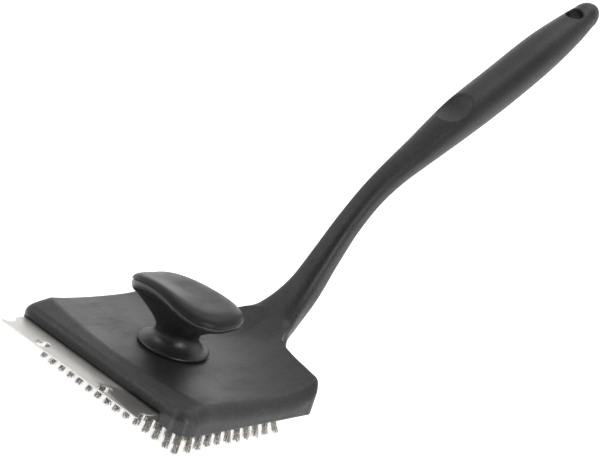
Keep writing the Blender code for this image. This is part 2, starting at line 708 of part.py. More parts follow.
def make_knob_fixing(frame, steel, brass):
    """Bolt and washer inside the head, and the threaded insert in the stem."""
    ceiling = SADDLE_LOW_Z - WALL
    washer_top = ceiling - GAP
    washer_low = washer_top - 0.0012
    hole = BOLT_R + GAP
    ring = ((hole, washer_low), (0.0075, washer_low), (0.0075, washer_top), (hole, washer_top))
    add_object("knob_washer", turned("knob_washer", ring, 0, KNOB_Y, 20, True), frame, steel)
    head_top = washer_low - GAP
    hexagon = turned("knob_bolt", ((0.0057, head_top - 0.0038), (0.0057, head_top)), 0, KNOB_Y, 6)
    bolt = add_object("knob_bolt", hexagon, frame, steel)
    shank = turned("shank", ((BOLT_R, head_top - 0.001), (BOLT_R, BOWL_FLOOR_Z - 0.0015),
                             (BOLT_R * 0.7, BOWL_FLOOR_Z - 0.0008)), 0, KNOB_Y, 16)
    boolean(bolt, "shank", shank, "UNION")
    low, high = KNOB_SEAT_Z + 0.002, BOWL_FLOOR_Z - 0.003
    sleeve = ((BOLT_R + GAP, low), (INSERT_R, low), (INSERT_R, high), (BOLT_R + GAP, high))
    add_object("knob_insert", turned("knob_insert", sleeve, 0, KNOB_Y, 16, True), frame, brass)


# ------------------------------------------------------------------------ assembly
def stand_on_origin(frame):
    """Bring the middle of the finished brush's footprint to the world origin."""
    bpy.context.view_layer.update()
    depsgraph = bpy.context.evaluated_depsgraph_get()
    corners = []
    for thing in bpy.data.objects:
        if thing.type == "MESH" and not thing.hide_render:
            shape = thing.evaluated_get(depsgraph).to_mesh()
            places = np.empty(len(shape.vertices) * 3)
            shape.vertices.foreach_get("co", places)
            places = places.reshape(-1, 3)
            corners += [places.min(axis=0), places.max(axis=0)]
    corners = np.array(corners)
    middle = (corners.min(axis=0) + corners.max(axis=0)) / 2
    frame.location = (-middle[0], -middle[1], -corners[:, 2].min())


def main():
    clear_scene()
    frame = bpy.data.objects.new("brush_frame", None)
    bpy.context.collection.objects.link(frame)
    resin = material("black_resin", (0.022, 0.022, 0.023), 0.45)
    pad = material("satin_resin", (0.035, 0.034, 0.033), 0.38)
    board = material("block_resin", (0.018, 0.018, 0.019), 0.55)
    stainless = material("stainless_plate", (0.62, 0.60, 0.57), 0.30, 1.0)
    wire = material("stainless_wire", (0.60, 0.58, 0.55), 0.35, 1.0)
    zinc = material("zinc_steel", (0.55, 0.56, 0.58), 0.35, 1.0)
    brass = material("brass", (0.62, 0.46, 0.18), 0.35, 1.0)
    make_head_handle(frame, resin)
    make_blade(frame, stainless)
    make_block(frame, board)
    for number in range(ROWS):
        make_row(number, frame, wire)
    for number, (x, y) in enumerate(FRONT_SCREWS + REAR_SCREWS):
        make_screw(number, x, y, frame, zinc)
    make_knob_body(frame, resin)
    make_knob_cap(frame, pad)
    make_knob_fixing(frame, zinc, brass)
    stand_on_origin(frame)


main()
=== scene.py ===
"""Looks of the grill cleaning brush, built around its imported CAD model.

Brush axes: X across the head, Y from the head's front face towards the handle, Z up
from the bristle tips.  Every piece is modelled in them and stands at ORIGIN, which the
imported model's own boxes give.  Materials use each object's own coordinates, so grain
and marks stay with the piece when anything is turned.
"""

import math

import bmesh
import bpy
import numpy as np
from mathutils import Matrix, Vector
from mathutils.geometry import delaunay_2d_cdt


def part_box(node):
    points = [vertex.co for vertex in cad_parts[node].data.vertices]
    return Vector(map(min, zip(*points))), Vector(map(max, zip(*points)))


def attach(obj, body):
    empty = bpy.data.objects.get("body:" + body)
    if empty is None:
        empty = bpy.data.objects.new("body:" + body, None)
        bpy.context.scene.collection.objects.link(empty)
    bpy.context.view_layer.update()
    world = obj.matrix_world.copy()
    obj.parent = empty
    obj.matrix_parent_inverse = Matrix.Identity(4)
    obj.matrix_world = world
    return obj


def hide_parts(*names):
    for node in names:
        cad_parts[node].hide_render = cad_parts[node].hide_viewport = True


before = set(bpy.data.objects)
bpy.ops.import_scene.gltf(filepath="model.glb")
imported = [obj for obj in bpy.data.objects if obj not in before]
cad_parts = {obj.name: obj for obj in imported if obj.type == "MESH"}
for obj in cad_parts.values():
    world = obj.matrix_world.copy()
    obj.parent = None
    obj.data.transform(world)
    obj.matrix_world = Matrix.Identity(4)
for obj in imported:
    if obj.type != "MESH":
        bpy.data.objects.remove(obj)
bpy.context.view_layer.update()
BODY = "root"


def cad_low(node):
    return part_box(node)[0]


def cad_high(node):
    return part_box(node)[1]


# ----------------------------------------- driving dimensions (m), as the CAD has them
GAP = 0.0003                    # clearance between pieces that touch
ORIGIN = Vector((0.0, cad_low("head_handle").y, 0.0))

RIM_Z = cad_low("head_handle").z  # underside of the head above the bristle tips
HEAD_WIDTH = cad_high("head_handle").x - cad_low("head_handle").x
HEAD_DEPTH = 0.1275
BACK_SWEEP = 0.0900             # slope of the rear edge at the corners
BACK_CURVE = 3.45               # how fast it steepens towards the neck, per metre
CORNER_R = 0.012
REAR_CORNER_R = 0.007
SHOULDER_R = 0.0055
SHOULDER_CUT = 0.0052           # depth of the bevel along the head's sides
REAR_EDGE_R = 0.0022
REAR_CORNER_EASE = 0.0020       # how much rounder the top edge is at the rear corners
SADDLE_LOW_Z = RIM_Z + 0.0152   # lowest height of the saddle-shaped top
SADDLE_LOW_Y = 0.080
FRONT_RISE = 0.0030
REAR_RISE = 0.0101
BAND_DEPTH = 0.0193             # the sloping band along the head's front
BAND_Z = RIM_Z + 0.0134
BAND_SLOPE = 0.249
DISH = 0.0022                   # how far the top is hollowed across
DISH_HALF = 0.075
SIDE_RIDGE = 0.0008
CREASE_R = 0.0006
REAR_SOFTENING = 0.0012
RIM_EDGE_R = 0.0006

# handle stations from root to tip: y, height above the rim, half width, half thickness
HANDLE = (
    (0.118, 0.002, 0.046, 0.0060),
    (0.140, 0.0085, 0.036, 0.0085),
    (0.1560, 0.0175, 0.0215, 0.0098),
    (0.1711, 0.0306, 0.0151, 0.0101),
    (0.1856, 0.0479, 0.0117, 0.0099),
    (0.1974, 0.0701, 0.0099, 0.0089),
    (0.2108, 0.0948, 0.0089, 0.0080),
    (0.2266, 0.1167, 0.0089, 0.0080),
    (0.2442, 0.1338, 0.0098, 0.0090),
    (0.2675, 0.1514, 0.0118, 0.0110),
    (0.3022, 0.1775, 0.0148, 0.0143),
    (0.3403, 0.2031, 0.0154, 0.0149),
    (0.3778, 0.2297, 0.0150, 0.0146),
    (0.4048, 0.24845, 0.0125, 0.0120),
    (0.4204, 0.2598, 0.0100, 0.0095),
)
TIP_LENGTH = 0.0138             # the round end beyond the last station
WEB_Y = 0.1425                  # the web behind the head, level with its rear edge
WEB_HALF = 0.0085
WEB_FLARE = 0.0200
WEB_REACH = 0.016
WEB_END = 0.170
WEB_THICK = 0.0060
FLARE_R = 0.0065                # head to handle, over the top
NECK_FILLET = 0.002             # head to handle, under the neck
EYE_R = 0.0064
EYE_STATION = 0.958             # share of the spine, as for the scoop
EYE_RIM_R = 0.0011
SCOOP_STATION = 0.707
SCOOP_RADII = (0.0182, 0.0260, 0.0112)
SCOOP_LIFT = 0.0060
SCOOP_EDGE_R = 0.0004
ROOT_TAPER = 0.55               # how much narrower the root is underneath
NECK_POWER = 2.9                # superellipse exponent of the neck, squarer than the grip
GRIP_POWER = 2.25

WALL = 0.0030
BLADE_THICK = 0.0010
BLADE_Z = cad_low("scraper_blade").z
BLADE_LEFT = cad_low("scraper_blade").x
BLADE_RIGHT = cad_high("scraper_blade").x
BLADE_FRONT = -0.0207
BLADE_REAR = 0.0185
BLADE_HOLE_R = 0.00475
BLADE_HOLES = (-0.0382, 0.0238)
BLADE_HOLE_Y = -0.0142

BLOCK_TOP = BLADE_Z - GAP
BLOCK_REAR = 0.1212
ROWS = 11
COLUMNS = 18
CLEAR_TUFTS = 3                 # tufts left out at the front row's left end
ROW_PITCH = 0.0086
COLUMN_PITCH = 0.0089
FIRST_ROW_Y = 0.0075
MIDDLE_ROW_Y = FIRST_ROW_Y + (ROWS - 1) / 2 * ROW_PITCH
SPLAY_X = 1.032                 # how far the tips fan out across the head
SPLAY_Y = 1.09                  # the same along it
FRONT_LEAN = (-0.0003, -0.0016)  # how far the front row's tips lean, in X and Y
WORN_LEAN = (0.0030, -0.0015)   # the same again for the worn tufts at the right front corner
TUFT_HOLE_R = 0.0021
TUFT_HOLE_DEPTH = 0.0032
WIRE_R = 0.00017
CRIMP_DEPTH = 0.00030
CRIMPS = 15.5 / 2.7             # waves along a wire

SCREWS = ((-0.0623, 0.0118), (-0.0089, 0.0118), (0.0445, 0.0118),
          (-0.054, 0.108), (0.0, 0.108), (0.054, 0.108))
SCREW_R = 0.0015
SCREW_HEAD_R = 0.0026
SCREW_HEAD_H = 0.0014
BOSS_R = 0.0045
HOLLOW_FRONT = 0.0225
HOLLOW_REAR = 0.1175

KNOB_Y = 0.0656
KNOB_SEAT_Z = RIM_Z + 0.0154
KNOB_HALF = (0.0413, 0.0277)
KNOB_POWER = 2.73               # superellipse exponent of the palm cap
KNOB_RIM_Z = RIM_Z + 0.0493
KNOB_CAP_X = 0.0014             # middle of the cap, a little off the stem
KNOB_CAP_Y = KNOB_Y - 0.0017
KNOB_CROWN = 0.0078
STEM_R = 0.0152
BAND_ROLL = 0.0012
BAND_LEAN = 0.0020              # how far the grip band tapers in towards its foot
BOLT_R = 0.0030
INSERT_R = 0.0046
BOWL_FLOOR_Z = RIM_Z + 0.0335
KNOB_SIDES = 128

CELL = 0.0011  # cell of the net that skins the moulded body


# ------------------------------------------------------------------ small helpers
def piece(name, mesh, mat, replaced=()):
    """A finished part of the brush, in place and riding on the CAD body."""
    thing = bpy.data.objects.new(name, mesh)
    bpy.context.collection.objects.link(thing)
    thing.location = ORIGIN
    mesh.materials.append(mat)
    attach(thing, BODY)
    if replaced:
        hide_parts(*replaced)
    return thing


def mesh_from(name, points, faces):
    mesh = bpy.data.meshes.new(name)
    mesh.from_pydata(np.asarray(points).tolist(), [], np.asarray(faces).tolist())
    mesh.update()
    return mesh


def finish(bm, name, smooth_angle=None):
    """Turn a bmesh into a mesh, smooth up to an angle between faces."""
    bmesh.ops.remove_doubles(bm, verts=bm.verts, dist=1e-7)
    bmesh.ops.recalc_face_normals(bm, faces=bm.faces)
    if smooth_angle is not None:
        for face in bm.faces:
            face.smooth = True
        for edge in bm.edges:
            edge.smooth = edge.is_manifold and edge.calc_face_angle(0.0) < smooth_angle
    mesh = bpy.data.meshes.new(name)
    bm.to_mesh(mesh)
    bm.free()
    return mesh


def add_ring(bm, points):
    return [bm.verts.new(p) for p in points]


def bridge(bm, one, other):
    for i in range(len(one)):
        j = (i + 1) % len(one)
        bm.faces.new((one[i], one[j], other[j], other[i]))


def skin_rings(bm, rings, cap_start=True, cap_end=True):
    loops = [add_ring(bm, ring) for ring in rings]
    for one, other in zip(loops, loops[1:]):
        bridge(bm, one, other)
    if cap_start:
        bm.faces.new(loops[0])
    if cap_end:
        bm.faces.new(loops[-1])
    return loops


def circle(radius, x, y, z, sides, start=0.0):
    turn = 2 * math.pi / sides
    return [(x + radius * math.cos(start + i * turn), y + radius * math.sin(start + i * turn), z)
            for i in range(sides)]


def inside_loop(points, loop):
    """Which of the points lie inside a closed outline, by crossings."""
    hit = np.zeros(len(points), bool)
    x, y = points[:, 0], points[:, 1]
    for (x0, y0), (x1, y1) in zip(loop, loop[1:] + loop[:1]):
        if y0 == y1:
            continue
        crosses = (y0 > y) != (y1 > y)
        hit ^= crosses & (x < (x1 - x0) * (y - y0) / (y1 - y0) + x0)
    return hit


def fill_flat(bm, outer, holes):
    """Triangles between an outer loop of level vertices and the holes in it."""
    verts, edges = [], []
    for loop in [outer] + holes:
        start = len(verts)
        verts += loop
        edges += [(start + i, start + (i + 1) % len(loop)) for i in range(len(loop))]
    flat = [Vector((v.co.x, v.co.y)) for v in verts]
    _, _, faces, origin, _, _ = delaunay_2d_cdt(flat, edges, [], 1, 1e-8)
    middle = np.array([[sum(flat[origin[i][0]][k] for i in f) / 3 for k in (0, 1)] for f in faces])
    keep = inside_loop(middle, [(v.co.x, v.co.y) for v in outer])
    for hole in holes:
        keep &= ~inside_loop(middle, [(v.co.x, v.co.y) for v in hole])
    for face, kept in zip(faces, keep):
        if kept:
            bm.faces.new([verts[origin[i][0]] for i in face])


def inset(loop, amount):
    """A closed outline moved sideways: inwards on an anticlockwise one."""
    points = np.array(loop)
    before = points - np.roll(points, 1, axis=0)
    after = np.roll(points, -1, axis=0) - points
    normal = np.zeros_like(points)
    for step in (before, after):
        step = step / np.maximum(np.hypot(step[:, 0], step[:, 1]), 1e-9)[:, None]
        normal += np.stack([-step[:, 1], step[:, 0]], axis=1)
    size = np.maximum((normal ** 2).sum(axis=1), 0.8) / 2
    return [tuple(p) for p in points + normal / size[:, None] * amount]


def level(loop, z):
    return [(x, y, z) for x, y in loop]


def flat_circle(radius, x, y, sides):
    """Clockwise, as a hole in an anticlockwise outline runs."""
    return [(px, py) for px, py, _ in circle(radius, x, y, 0.0, sides)][::-1]


def plate(name, outline, through, blind, low, high, ease, depth=0.0):
    """A flat board with eased edges, holes right through it and blind holes from below."""
    bm = bmesh.new()
    under, over, bottom_holes, top_holes = None, None, [], []
    for loop in [outline] + through:
        rings = [add_ring(bm, level(inset(loop, ease), low)),
                 add_ring(bm, level(loop, low + ease)),
                 add_ring(bm, level(loop, high - ease)),
                 add_ring(bm, level(inset(loop, ease), high))]
        for one, other in zip(rings, rings[1:]):
            bridge(bm, one, other)
        if under is None:
            under, over = rings[0], rings[-1]
        else:
            bottom_holes.append(rings[0])
            top_holes.append(rings[-1])
    for loop in blind:
        rings = [add_ring(bm, level(inset(loop, ease), low)), add_ring(bm, level(loop, low + ease)),
                 add_ring(bm, level(loop, low + depth))]
        bridge(bm, rings[0], rings[1])
        bridge(bm, rings[1], rings[2])
        bm.faces.new(rings[2])
        bottom_holes.append(rings[0])
    fill_flat(bm, under, bottom_holes)
    fill_flat(bm, over, top_holes)
    return finish(bm, name, math.radians(30))


def rounded_outline(half_width, front, rear, radius, steps=12):
    """Rectangle in plan with rounded corners, anticlockwise."""
    points = []
    centres = ((half_width - radius, front + radius, -90), (half_width - radius, rear - radius, 0),
               (radius - half_width, rear - radius, 90), (radius - half_width, front + radius, 180))
    for x, y, start in centres:
        for i in range(steps + 1):
            turn = math.radians(start + 90 * i / steps)
            points.append((x + radius * math.cos(turn), y + radius * math.sin(turn)))
    return points


# ------------------------------------------------- the moulded body as a distance field
def round_union(a, b, r):
    u = np.maximum(r - a, 0.0)
    v = np.maximum(r - b, 0.0)
    return np.maximum(r, np.minimum(a, b)) - np.sqrt(u * u + v * v)


def round_common(a, b, r):
    return -round_union(-a, -b, r)


def smooth_step(t):
    t = np.clip(t, 0.0, 1.0)
    return t * t * (3 - 2 * t)


def back_field(x, y):
    """Distance behind the head's rear edge, which sweeps back ever faster to the neck."""
    inboard = HEAD_WIDTH / 2 - np.abs(x)
    slope = BACK_SWEEP + 2 * BACK_CURVE * inboard
    edge = HEAD_DEPTH + (BACK_SWEEP + BACK_CURVE * inboard) * inboard
    return (y - edge) / np.sqrt(1 + slope ** 2)


def top_height(x, y, back):
    """The dished saddle over the head, which climbs on past the rear edge into the neck."""
    ahead = np.maximum(SADDLE_LOW_Y - y, 0.0) / (SADDLE_LOW_Y - BAND_DEPTH)
    behind = np.clip(1.0 + back / 0.045, 0.0, 1.10)
    saddle = SADDLE_LOW_Z + FRONT_RISE * ahead ** 2 + REAR_RISE * behind ** 2.6
    across = np.maximum(1.0 - (x / DISH_HALF) ** 2, -0.3)
    fade = np.clip((0.070 - y) / 0.055, 0.12, 1.0)
    return saddle, saddle - DISH * across * fade, behind


def web_plan(x, y):
    """Plan of the web behind the head, which narrows into the neck."""
    flared = WEB_FLARE * np.exp(np.minimum(WEB_Y - y, 0.02) / WEB_REACH)
    sides = (np.abs(x) - WEB_HALF - flared) / np.sqrt(1 + (flared / WEB_REACH) ** 2)
    return round_common(np.maximum(sides, 0.120 - y), y - WEB_END, 0.006)


def head_field(x, y, z):
    """The head: a dished saddle top behind a sloping front band, and the web to the neck."""
    back = back_field(x, y)
    saddle, dished, behind = top_height(x, y, back)
    side = np.abs(x) - HEAD_WIDTH / 2
    over = z - np.minimum(BAND_Z + BAND_SLOPE * y, saddle + SIDE_RIDGE)
    walls = round_common(round_common(side, -y, CORNER_R), back, REAR_CORNER_R)
    walls = round_union(walls, web_plan(x, y), 0.0015)
    rear_r = REAR_EDGE_R + REAR_CORNER_EASE * smooth_step((np.abs(x) - 0.058) / 0.020)
    edge_r = SHOULDER_R + (rear_r - SHOULDER_R) * smooth_step(1.0 + back / 0.020)
    body = round_common(walls, over, edge_r)
    cut = SHOULDER_CUT * (0.75 + 0.25 * smooth_step((y - 0.004) / 0.030))
    body = round_common(body, (side + over) * 0.7071 + cut, 0.0030)
    body = round_common(body, z - dished, CREASE_R + REAR_SOFTENING * np.minimum(behind, 1.05) ** 4)
    return round_common(body, round_union(back - 0.0025, dished - WEB_THICK - z, 0.001), 0.0015)


def handle_spine(count=110):
    """Smooth curve through the handle's stations: arrays of y, z, half sizes."""
    knots = np.array(HANDLE)
    knots[:, 1] += RIM_Z
    ends = np.vstack([2 * knots[0] - knots[1], knots, 2 * knots[-1] - knots[-2]])
    t = np.linspace(0, len(knots) - 1.000001, count)
    i = t.astype(int)
    f = (t - i)[:, None]
    p0, p1, p2, p3 = ends[i], ends[i + 1], ends[i + 2], ends[i + 3]
    return 0.5 * (2 * p1 + (p2 - p0) * f + (2 * p0 - 5 * p1 + 4 * p2 - p3) * f ** 2
                  + (3 * p1 - p0 - 3 * p2 + p3) * f ** 3)


def spine_coordinates(y, z, spine):
    """Along the spine (0 to 1), height over it, and the half sizes there."""
    start, step = spine[:-1, :2], np.diff(spine[:, :2], axis=0)
    length = np.hypot(step[:, 0], step[:, 1])
    best = np.full(y.shape, 1e9)
    where = np.zeros(y.shape)
    height = np.zeros(y.shape)
    last = len(start) - 1
    for i in range(len(start)):
        dy = y - start[i, 0]
        dz = z - start[i, 1]
        t = (dy * step[i, 0] + dz * step[i, 1]) / length[i] ** 2
        t = np.clip(t, -1e3 if i == 0 else 0.0, 1e3 if i == last else 1.0)
        ey = dy - t * step[i, 0]
        ez = dz - t * step[i, 1]
        excess = np.maximum(np.abs(t - 0.5) - 0.5, 0) * length[i]
        gap = ey ** 2 + ez ** 2 + excess ** 2
        closer = gap < best
        best = np.where(closer, gap, best)
        where = np.where(closer, i + t, where)
        over = (step[i, 0] * dz - step[i, 1] * dy) / length[i]
        height = np.where(closer, over, height)
    place = np.clip(where, 0, len(start)) / len(start)
    knots = np.linspace(0, 1, len(spine))
    half_width = np.interp(place, knots, spine[:, 2])
    half_thick = np.interp(place, knots, spine[:, 3])
    beyond = np.maximum(where - len(start), 0) * length[-1]
    before = np.maximum(-where, 0) * length[0]
    return place, height, half_width, half_thick, beyond, before


def handle_field(x, coordinates):
    place, height, wide, thick, beyond, before = coordinates
    taper = ROOT_TAPER * (1.0 - smooth_step(place / 0.30))
    wide = wide * (1.0 + taper * np.clip(height / thick, -1.0, 1.0))
    u, v = np.abs(x / wide), np.abs(height / thick)
    power = NECK_POWER + (GRIP_POWER - NECK_POWER) * smooth_step((place - 0.40) / 0.25)
    k = np.maximum(u ** power + v ** power, 1e-9) ** (1 / power)
    slope = np.hypot(u / wide, v / thick) / np.maximum(np.hypot(u, v), 1e-6)
    end = beyond / TIP_LENGTH
    k = np.sqrt(k ** 2 + end ** 2)
    slope = np.maximum(slope, 1 / np.maximum(wide, thick)) + (end > 0) * end / TIP_LENGTH * 0.3
    return np.maximum((k - 1) / slope, before - 0.004)


def spine_point(spine, share):
    """Point on the spine with its tangent and upward normal, in the YZ plane."""
    at = share * (len(spine) - 1)
    i = min(int(at), len(spine) - 2)
    step = spine[i + 1, :2] - spine[i, :2]
    tangent = step / np.hypot(*step)
    point = spine[i] + (spine[i + 1] - spine[i]) * (at - i)
    return point, tangent, np.array([-tangent[1], tangent[0]])


def scoop_field(x, y, z, spine):
    """Ellipsoid that presses the thumb scoop into the grip."""
    point, tangent, normal = spine_point(spine, SCOOP_STATION)
    along_r, wide_r, deep_r = SCOOP_RADII
    cy = point[0] + normal[0] * (point[3] + SCOOP_LIFT)
    cz = point[1] + normal[1] * (point[3] + SCOOP_LIFT)
    along = (y - cy) * tangent[0] + (z - cz) * tangent[1]
    deep = (y - cy) * normal[0] + (z - cz) * normal[1]
    k = np.sqrt((along / along_r) ** 2 + (x / wide_r) ** 2 + (deep / deep_r) ** 2)
    return (k - 1) * deep_r


def eye_field(x, y, z, spine):
    """Round hole through the flat of the handle's end."""
    point, tangent, _ = spine_point(spine, EYE_STATION)
    along = (y - point[0]) * tangent[0] + (z - point[1]) * tangent[1]
    return np.hypot(x, along) - EYE_R


def slab_field(x, y, half, front, rear, radius):
    """Upright rounded rectangle, for the pockets under the head."""
    u = np.abs(x) - half + radius
    v = np.abs(y - (front + rear) / 2) - (rear - front) / 2 + radius
    outside = np.hypot(np.maximum(u, 0), np.maximum(v, 0))
    return outside + np.minimum(np.maximum(u, v), 0) - radius


def pocket_field(x, y, z):
    """Everything hollow under the head: the block's seat, the hollow over it, the blade's slot."""
    inner = HEAD_WIDTH / 2 - WALL
    ceiling = SADDLE_LOW_Z - WALL
    seat = np.maximum(slab_field(x, y, inner, WALL, BLOCK_REAR + GAP, CORNER_R - WALL),
                      z - BLADE_Z)
    hollow = slab_field(x, y, inner - 0.003, HOLLOW_FRONT, HOLLOW_REAR, CORNER_R - WALL)
    hollow = np.maximum(hollow, z - ceiling)
    for sx, sy in SCREWS[3:]:
        hollow = np.maximum(hollow, np.minimum(BOSS_R - np.hypot(x - sx, y - sy), z - BLADE_Z))
    middle = (BLADE_LEFT + BLADE_RIGHT) / 2
    slot = np.maximum(np.abs(x - middle) - (BLADE_RIGHT - BLADE_LEFT) / 2 - GAP,
                      np.maximum(y - BLADE_REAR - GAP, z - BLADE_Z - BLADE_THICK - GAP))
    bolt_way = np.maximum(np.hypot(x, y - KNOB_Y) - BOLT_R - GAP, z - RIM_Z - 0.03)
    return np.minimum(np.minimum(seat, hollow), np.minimum(slot, bolt_way))


def body_field(x, y, z, spine, coordinates):
    handle = handle_field(x, coordinates)
    top = smooth_step((z - RIM_Z - 0.014) / 0.012)
    flare = FLARE_R * top * (1.0 - 0.75 * smooth_step((np.abs(x) - 0.006) / 0.020))
    body = round_union(head_field(x, y, z), handle, NECK_FILLET + flare)
    body = round_common(body, RIM_Z - z, RIM_EDGE_R)
    body = round_common(body, -scoop_field(x, y, z, spine), SCOOP_EDGE_R)
    body = round_common(body, -eye_field(x, y, z, spine), EYE_RIM_R)
    return round_common(body, -pocket_field(x, y, z), 0.0003)


def surface_net(field, low, step):
    """Quads around the zero surface of a sampled field."""
    inside = field < 0
    shape = tuple(n - 1 for n in field.shape)
    corners = [(i, j, k) for i in (0, 1) for j in (0, 1) for k in (0, 1)]

    def shifted(values, corner):
        i, j, k = corner
        return values[i:i + shape[0], j:j + shape[1], k:k + shape[2]]

    hits = sum(shifted(inside, c).astype(np.int8) for c in corners)
    cells = np.argwhere((hits > 0) & (hits < 8))
    number = np.full(shape, -1, dtype=np.int32)
    number[tuple(cells.T)] = np.arange(len(cells))
    total = np.zeros((len(cells), 3))
    count = np.zeros(len(cells))
    for a in corners:
        for axis in range(3):
            if a[axis]:
                continue
            b = tuple(v + (n == axis) for n, v in enumerate(a))
            fa = field[tuple((cells + a).T)]
            fb = field[tuple((cells + b).T)]
            crossed = (fa < 0) != (fb < 0)
            t = np.where(crossed, fa / np.where(crossed, fa - fb, 1.0), 0.0)
            place = np.array(a) + t[:, None] * (np.array(b) - np.array(a))
            total += place * crossed[:, None]
            count += crossed
    points = low + (cells + total / count[:, None]) * step
    faces = []
    for axis in range(3):
        u, v = (axis + 1) % 3, (axis + 2) % 3
        ahead = np.take(inside, range(1, inside.shape[axis]), axis=axis)
        here = np.take(inside, range(0, inside.shape[axis] - 1), axis=axis)
        edges = np.argwhere(ahead != here)
        edges = edges[(edges[:, u] > 0) & (edges[:, v] > 0)]
        leaving = here[tuple(edges.T)]
        du, dv = np.eye(3, dtype=int)[u], np.eye(3, dtype=int)[v]
        ring = [number[tuple((edges - s * du - t * dv).T)]
                for s, t in ((1, 1), (0, 1), (0, 0), (1, 0))]
        quads = np.stack(ring, axis=1)
        faces.append(np.where(leaving[:, None], quads, quads[:, ::-1]))
    return points, np.vstack(faces)


def gradient(points, field_at, step):
    return np.stack([field_at(points + d) - field_at(points - d)
                     for d in np.eye(3) * step], axis=1) / (2 * step)


def settle(points, field_at, step):
    """Move the net's points onto the surface itself."""
    for _ in range(2):
        value = field_at(points)
        slope = gradient(points, field_at, step)
        size = np.maximum((slope ** 2).sum(axis=1), 0.2)
        shift = slope * (value / size)[:, None]
        reach = np.maximum(np.linalg.norm(shift, axis=1) / (0.7 * CELL), 1.0)
        points = points - shift / reach[:, None]
    return points


def sample_near(low, count, spine):
    """The body's field on a fine grid, worked out only near the surface."""
    block = 4
    blocks = -(-count // block)
    centre = [low[i] + CELL * (block * np.arange(blocks[i]) + (block - 1) / 2) for i in range(3)]
    flat = spine_coordinates(*np.meshgrid(centre[1], centre[2], indexing="ij"), spine)
    x, y, z = np.meshgrid(*centre, indexing="ij")
    coarse = body_field(x, y, z, spine, [part[None] for part in flat]).astype(np.float32)
    whole = np.where(coarse < 0, -1.0, 1.0).astype(np.float32)
    near = np.abs(coarse) < 1.5 * block * CELL
    for axis in range(3):
        whole = np.repeat(whole, block, axis=axis)
        near = np.repeat(near, block, axis=axis)
    i, j, k = np.nonzero(near)
    ys, zs = (low[a] + CELL * np.arange(blocks[a] * block) for a in (1, 2))
    flat = spine_coordinates(*np.meshgrid(ys, zs, indexing="ij"), spine)
    close = [part[j, k] for part in flat]
    whole[i, j, k] = body_field(low[0] + CELL * i, ys[j], zs[k], spine, close)
    return whole


def body_skin(spine):
    low = np.array([-HEAD_WIDTH / 2 - 3.4 * CELL, -3.3 * CELL, RIM_Z - 3.45 * CELL])
    high = np.array([HEAD_WIDTH / 2 + 3 * CELL, 0.440, RIM_Z + 0.275])
    count = np.ceil((high - low) / CELL).astype(int)
    points, faces = surface_net(sample_near(low, count, spine), low, CELL)

    def field_at(p):
        near = spine_coordinates(p[:, 1], p[:, 2], spine)
        return body_field(p[:, 0], p[:, 1], p[:, 2], spine, near)

    points = settle(points, field_at, CELL * 0.15)
    slope = gradient(points, field_at, CELL * 0.15)
    return points, faces, slope / np.maximum(np.linalg.norm(slope, axis=1), 1e-9)[:, None]


def make_body(mat):
    spine = handle_spine()
    points, faces, normals = body_skin(spine)
    mesh = mesh_from("head_handle_skin", points, faces)
    mesh.shade_smooth()
    mesh.normals_split_custom_set_from_vertices(normals.tolist())
    piece("head_handle_skin", mesh, mat, ("head_handle",))


# ------------------------------------------------------------- blade, block, screws
def arc(x, y, radius, start, end, steps):
    """Points on an arc, angles in degrees."""
    turns = [math.radians(start + (end - start) * i / steps) for i in range(steps + 1)]
    return [(x + radius * math.cos(t), y + radius * math.sin(t)) for t in turns]


def blade_outline():
    """Anticlockwise: a round-nosed tongue and a scallop with a hook at each end."""
    left, right = BLADE_LEFT, BLADE_RIGHT
    scallop_r = 0.0047
    points = [(left, BLADE_REAR)]
    points += [(left, -0.0072), (left + 0.0005, -0.0082)]
    points += arc(left - 0.0004, -0.0136, scallop_r, 66, -60, 14)
    points += arc(left + 0.0015, BLADE_FRONT + 0.0015, 0.0015, 140, 270, 8)
    points += arc(right - 0.0010, BLADE_FRONT + 0.0018, 0.0009, -85, 10, 5)
    points += arc(right + 0.0009, -0.0132, scallop_r, 232, 118, 14)
    points += [(right - 0.0004, -0.0078), (right, -0.0070), (right, BLADE_REAR)]
    return points


def make_blade(mat):
    """The scraper plate, with eased edges, two open holes and three screw ways."""
    through = [flat_circle(BLADE_HOLE_R, x, BLADE_HOLE_Y, 40) for x in BLADE_HOLES]
    through += [flat_circle(SCREW_R + GAP, x, y, 16) for x, y in SCREWS[:3]]
    mesh = plate("scraper_plate", blade_outline(), through, [], BLADE_Z, BLADE_Z + BLADE_THICK, 0.00016)
    piece("scraper_plate", mesh, mat, ("scraper_blade",))


def tuft_places(row):
    """Centres of a row's tufts; the front row leaves its left end clear."""
    y = FIRST_ROW_Y + row * ROW_PITCH
    places = [((column - (COLUMNS - 1) / 2) * COLUMN_PITCH, y) for column in range(COLUMNS)]
    if row == 0:
        places[-1] = (places[-1][0] * 0.985, y + 0.0009)
        return places[CLEAR_TUFTS:]
    return places


def make_block(mat):
    """Board of the bristles: a blind hole for each tuft and a way for each screw."""
    edge = WALL + GAP
    corner = CORNER_R - edge
    outline = rounded_outline(HEAD_WIDTH / 2 - edge, edge, BLOCK_REAR, corner)
    outline = [(x, y) for x, y in outline if y > edge + corner or x > 0 or x < BLADE_LEFT]
    across = BLADE_LEFT + HEAD_WIDTH / 2 - edge - corner
    meets = edge + corner - math.sqrt(corner ** 2 - across ** 2)
    outline += [(BLADE_LEFT, meets), (BLADE_LEFT, GAP), (BLADE_RIGHT, GAP), (BLADE_RIGHT, edge)]
    holes = [flat_circle(TUFT_HOLE_R, x, y, 14) for row in range(ROWS) for x, y in tuft_places(row)]
    ways = [flat_circle(SCREW_HEAD_R + GAP, x, y, 24) for x, y in SCREWS]
    mesh = plate("bristle_board", outline, ways, holes, RIM_Z, BLOCK_TOP, 0.00025, TUFT_HOLE_DEPTH)
    piece("bristle_board", mesh, mat, ("bristle_block",))


